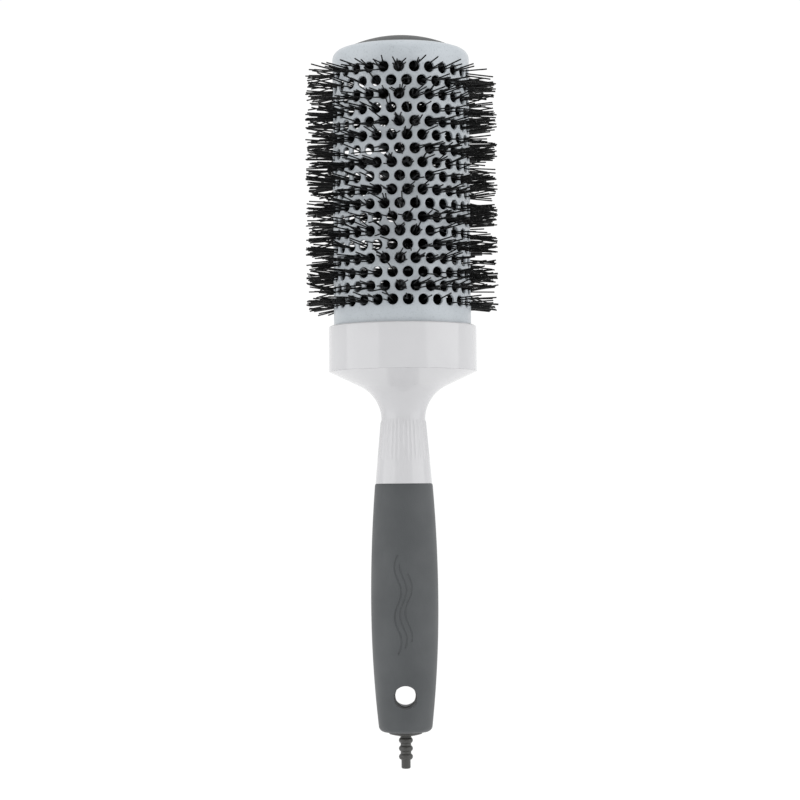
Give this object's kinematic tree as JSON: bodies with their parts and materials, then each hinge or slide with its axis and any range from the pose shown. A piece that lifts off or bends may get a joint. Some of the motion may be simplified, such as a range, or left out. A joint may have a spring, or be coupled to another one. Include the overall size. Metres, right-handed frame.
{
  "type": "round barrel brush",
  "caption": "Large round blow-drying brush: perforated ceramic-coated barrel, black nylon bristles, gloss collar and neck, soft grip with hang hole, pull-out sectioning pick.",
  "frame": {"origin": "centre of the hang hole, on the brush's axis", "axes": "+Z along the brush from the handle to the barrel, Y along the hang hole, -Y is the front"},
  "size_m": [0.064, 0.064, 0.24],
  "materials": {
    "ceramic_barrel": "satin ceramic coating on aluminium",
    "grey_plug": "fine moulded satin",
    "steel_wire": "drawn, galvanised",
    "black_hub": "moulded",
    "white_gloss": "high gloss moulded",
    "soft_grip": "soft-touch, fine eroded texture",
    "grey_pick": "satin moulded",
    "black_nylon": "drawn nylon filament, semi-gloss"
  },
  "bodies": {
    "handle": {"barrel": "ceramic_barrel", "end_plug": "grey_plug", "stem_wire_a": "steel_wire", "stem_wire_b": "steel_wire", "top_ferrule": "steel_wire", "base_ferrule": "steel_wire", "base_hub": "black_hub", "collar_ring": "white_gloss", "neck_flare": "white_gloss", "handle_core": "white_gloss", "grip": "soft_grip", "bristle_row_01": "black_nylon", "bristle_row_02": "black_nylon", "bristle_row_03": "black_nylon", "bristle_row_04": "black_nylon", "bristle_row_05": "black_nylon", "bristle_row_06": "black_nylon", "bristle_row_07": "black_nylon", "bristle_row_08": "black_nylon", "bristle_row_09": "black_nylon", "bristle_row_10": "black_nylon", "bristle_row_11": "black_nylon", "bristle_row_12": "black_nylon", "bristle_row_13": "black_nylon", "bristle_row_14": "black_nylon", "bristle_row_15": "black_nylon", "bristle_row_16": "black_nylon", "bristle_row_17": "black_nylon", "bristle_row_18": "black_nylon"},
    "pick": {"pick_knob": "grey_pick", "pick_blade": "grey_pick"}
  },
  "joints": [
    {"name": "pick_slide", "type": "slide", "parent": "handle", "child": "pick", "axis": [0, 0, -1], "range_m": [0, 0.09]}
  ]
}
